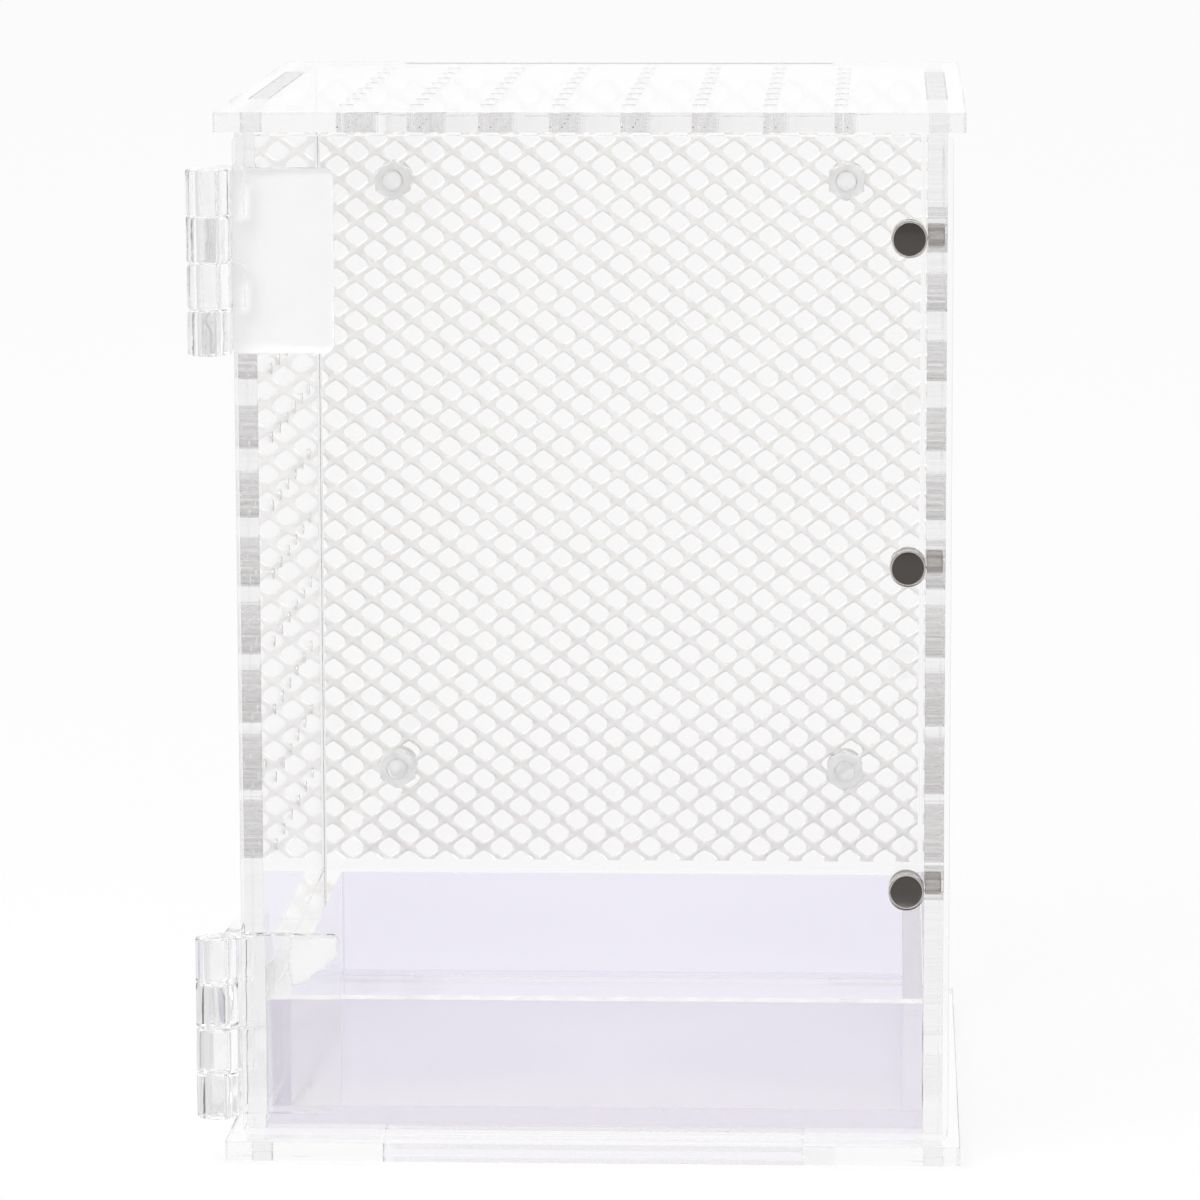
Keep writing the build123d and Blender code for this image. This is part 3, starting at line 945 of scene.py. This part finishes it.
def surround_group():
    """How bright the studio looks towards a direction, with dark flags at both sides. Where it is
    mirrored directly it has a dark front too, which starts a little way off the box."""
    group = bpy.data.node_groups.new("studio_surround", "ShaderNodeTree")
    group_sockets(group, [
        ("Direction", "INPUT", "Vector", None),
        ("Glossy depth", "INPUT", "Float", 0.0),
        ("Transmission depth", "INPUT", "Float", 0.0),
        ("Flag brightness", "INPUT", "Float", 0.76),
        ("Front brightness", "INPUT", "Float", 0.085),
        ("Brightness", "OUTPUT", "Float", None),
    ])
    new = group.nodes.new
    link = group.links.new
    given = new("NodeGroupInput")
    result = new("NodeGroupOutput")
    level = new("ShaderNodeVectorMath")
    level.operation = "MULTIPLY"
    level.inputs[1].default_value = (1, 1, 0)
    link(given.outputs["Direction"], level.inputs[0])
    unit = new("ShaderNodeVectorMath")
    unit.operation = "NORMALIZE"
    link(level.outputs["Vector"], unit.inputs[0])
    parts = new("ShaderNodeSeparateXYZ")
    link(unit.outputs["Vector"], parts.inputs[0])
    sideways = new("ShaderNodeMath")
    sideways.operation = "ABSOLUTE"
    link(parts.outputs["X"], sideways.inputs[0])
    flags = new("ShaderNodeMapRange")
    flags.interpolation_type = "SMOOTHSTEP"
    flags.inputs["From Min"].default_value = flag_start
    flags.inputs["From Max"].default_value = flag_full
    flags.inputs["To Min"].default_value = 1.0
    link(sideways.outputs[0], flags.inputs["Value"])
    link(given.outputs["Flag brightness"], flags.inputs["To Max"])
    turned = new("ShaderNodeMath")
    turned.operation = "GREATER_THAN"
    turned.inputs[1].default_value = 0.5
    link(given.outputs["Glossy depth"], turned.inputs[0])
    direct = new("ShaderNodeMath")
    direct.operation = "LESS_THAN"
    direct.inputs[1].default_value = 0.5
    link(given.outputs["Transmission depth"], direct.inputs[0])
    mirrored = new("ShaderNodeMath")
    mirrored.operation = "MULTIPLY"
    link(turned.outputs[0], mirrored.inputs[0])
    link(direct.outputs[0], mirrored.inputs[1])
    distance = new("ShaderNodeVectorMath")
    distance.operation = "LENGTH"
    link(given.outputs["Direction"], distance.inputs[0])
    away = new("ShaderNodeMapRange")
    away.interpolation_type = "SMOOTHSTEP"
    away.inputs["From Min"].default_value = front_near
    away.inputs["From Max"].default_value = front_far
    link(distance.outputs["Value"], away.inputs["Value"])
    darkened = new("ShaderNodeMath")
    darkened.operation = "MULTIPLY"
    link(mirrored.outputs[0], darkened.inputs[0])
    link(away.outputs["Result"], darkened.inputs[1])
    front = new("ShaderNodeMapRange")
    front.interpolation_type = "SMOOTHSTEP"
    front.inputs["From Min"].default_value = front_start
    front.inputs["From Max"].default_value = front_full
    front.inputs["To Min"].default_value = 1.0
    link(parts.outputs["Y"], front.inputs["Value"])
    link(given.outputs["Front brightness"], front.inputs["To Max"])
    side_mix = new("ShaderNodeMix")
    side_mix.inputs["A"].default_value = 1.0
    link(turned.outputs[0], side_mix.inputs["Factor"])
    link(flags.outputs["Result"], side_mix.inputs["B"])
    front_mix = new("ShaderNodeMix")
    front_mix.inputs["A"].default_value = 1.0
    link(darkened.outputs[0], front_mix.inputs["Factor"])
    link(front.outputs["Result"], front_mix.inputs["B"])
    both = new("ShaderNodeMath")
    both.operation = "MULTIPLY"
    link(side_mix.outputs["Result"], both.inputs[0])
    link(front_mix.outputs["Result"], both.inputs[1])
    link(both.outputs[0], result.inputs["Brightness"])
    return group


studio_surround = surround_group()
floor_half = 4.0
floor_gap = 0.0002
shadow_share = 0.16
shadow_share_through = 0.05


def floor_material():
    """White ground: mostly its own light, with a share of plain diffuse that takes the shadow."""
    material = bpy.data.materials.new("floor")
    material.use_nodes = True
    tree = material.node_tree
    tree.nodes.remove(tree.nodes["Principled BSDF"])
    place = tree.nodes.new("ShaderNodeNewGeometry")
    surround = tree.nodes.new("ShaderNodeGroup")
    surround.node_tree = studio_surround
    tree.links.new(place.outputs["Position"], surround.inputs["Direction"])
    light = tree.nodes.new("ShaderNodeLightPath")
    tree.links.new(light.outputs["Glossy Depth"], surround.inputs["Glossy depth"])
    tree.links.new(light.outputs["Transmission Depth"], surround.inputs["Transmission depth"])
    glow = tree.nodes.new("ShaderNodeEmission")
    tree.links.new(surround.outputs["Brightness"], glow.inputs["Color"])
    ground = tree.nodes.new("ShaderNodeBsdfDiffuse")
    ground.inputs["Color"].default_value = (1, 1, 1, 1)
    share = tree.nodes.new("ShaderNodeMix")
    share.inputs["A"].default_value = shadow_share_through
    share.inputs["B"].default_value = shadow_share
    tree.links.new(light.outputs["Is Camera Ray"], share.inputs["Factor"])
    blend = tree.nodes.new("ShaderNodeMixShader")
    tree.links.new(share.outputs["Result"], blend.inputs["Fac"])
    tree.links.new(glow.outputs["Emission"], blend.inputs[1])
    tree.links.new(ground.outputs["BSDF"], blend.inputs[2])
    tree.links.new(blend.outputs["Shader"], tree.nodes["Material Output"].inputs["Surface"])
    return material


floor_mesh = bpy.data.meshes.new("floor")
floor_mesh.from_pydata(
    [(-floor_half, -floor_half, -floor_gap), (floor_half, -floor_half, -floor_gap),
     (floor_half, floor_half, -floor_gap), (-floor_half, floor_half, -floor_gap)],
    [], [(0, 1, 2, 3)],
)
floor_mesh.materials.append(floor_material())
floor = bpy.data.objects.new("floor", floor_mesh)
bpy.context.scene.collection.objects.link(floor)


# The light is an even white surround, a little weaker for diffuse rays, with one soft lamp
# above the left of the camera.

level_for_diffuse_rays = 0.75
lamp_side = 0.8
lamp_power = 8.0
lamp_place = Vector((-0.7, -0.9, 1.3))
lamp_aim = Vector((0, 0, 0.07))
world = bpy.data.worlds.new("studio")
bpy.context.scene.world = world
world.use_nodes = True
world_tree = world.node_tree
world_direction = world_tree.nodes.new("ShaderNodeTexCoord")
world_surround = world_tree.nodes.new("ShaderNodeGroup")
world_surround.node_tree = studio_surround
world_tree.links.new(world_direction.outputs["Generated"], world_surround.inputs["Direction"])
world_path = world_tree.nodes.new("ShaderNodeLightPath")
world_tree.links.new(world_path.outputs["Glossy Depth"], world_surround.inputs["Glossy depth"])
world_tree.links.new(world_path.outputs["Transmission Depth"], world_surround.inputs["Transmission depth"])
world_level = world_tree.nodes.new("ShaderNodeMix")
world_level.inputs["B"].default_value = level_for_diffuse_rays
world_tree.links.new(world_path.outputs["Is Diffuse Ray"], world_level.inputs["Factor"])
world_tree.links.new(world_surround.outputs["Brightness"], world_level.inputs["A"])
world_background = world_tree.nodes["Background"]
world_tree.links.new(world_level.outputs["Result"], world_background.inputs["Color"])

lamp_data = bpy.data.lights.new("key", "AREA")
lamp_data.shape = "RECTANGLE"
lamp_data.size = lamp_side
lamp_data.size_y = lamp_side
lamp_data.energy = lamp_power
lamp = bpy.data.objects.new("key", lamp_data)
lamp.location = lamp_place
lamp.rotation_mode = "QUATERNION"
lamp.rotation_quaternion = (lamp_aim - lamp.location).to_track_quat("-Z", "Y")
bpy.context.scene.collection.objects.link(lamp)


# The camera stands where the photograph was taken from, and the render settings let light pass
# through the many clear sheets.

camera_place = Vector((0.04143, -0.90059, 0.21442))
camera_yaw = radians(2.70)
camera_pitch = radians(8.90)
camera_roll = radians(-0.16)
camera_data = bpy.data.cameras.new("camera")
camera_data.sensor_width = 36.0
camera_data.lens = 183.29
camera = bpy.data.objects.new("camera", camera_data)
forward = Vector((
    -sin(camera_yaw) * cos(camera_pitch), cos(camera_yaw) * cos(camera_pitch), -sin(camera_pitch)
))
camera.rotation_mode = "QUATERNION"
camera.rotation_quaternion = (
    forward.to_track_quat("-Z", "Y") @ Quaternion((0, 0, 1), camera_roll)
)
camera.location = camera_place
bpy.context.scene.collection.objects.link(camera)
bpy.context.scene.camera = camera

scene = bpy.context.scene
scene.view_settings.view_transform = "Standard"
scene.cycles.max_bounces = 28
scene.cycles.transmission_bounces = 28
scene.cycles.glossy_bounces = 20
scene.cycles.diffuse_bounces = 12
# The filter on glossy bounces would darken what stands behind several clear sheets.
scene.cycles.blur_glossy = 0.0
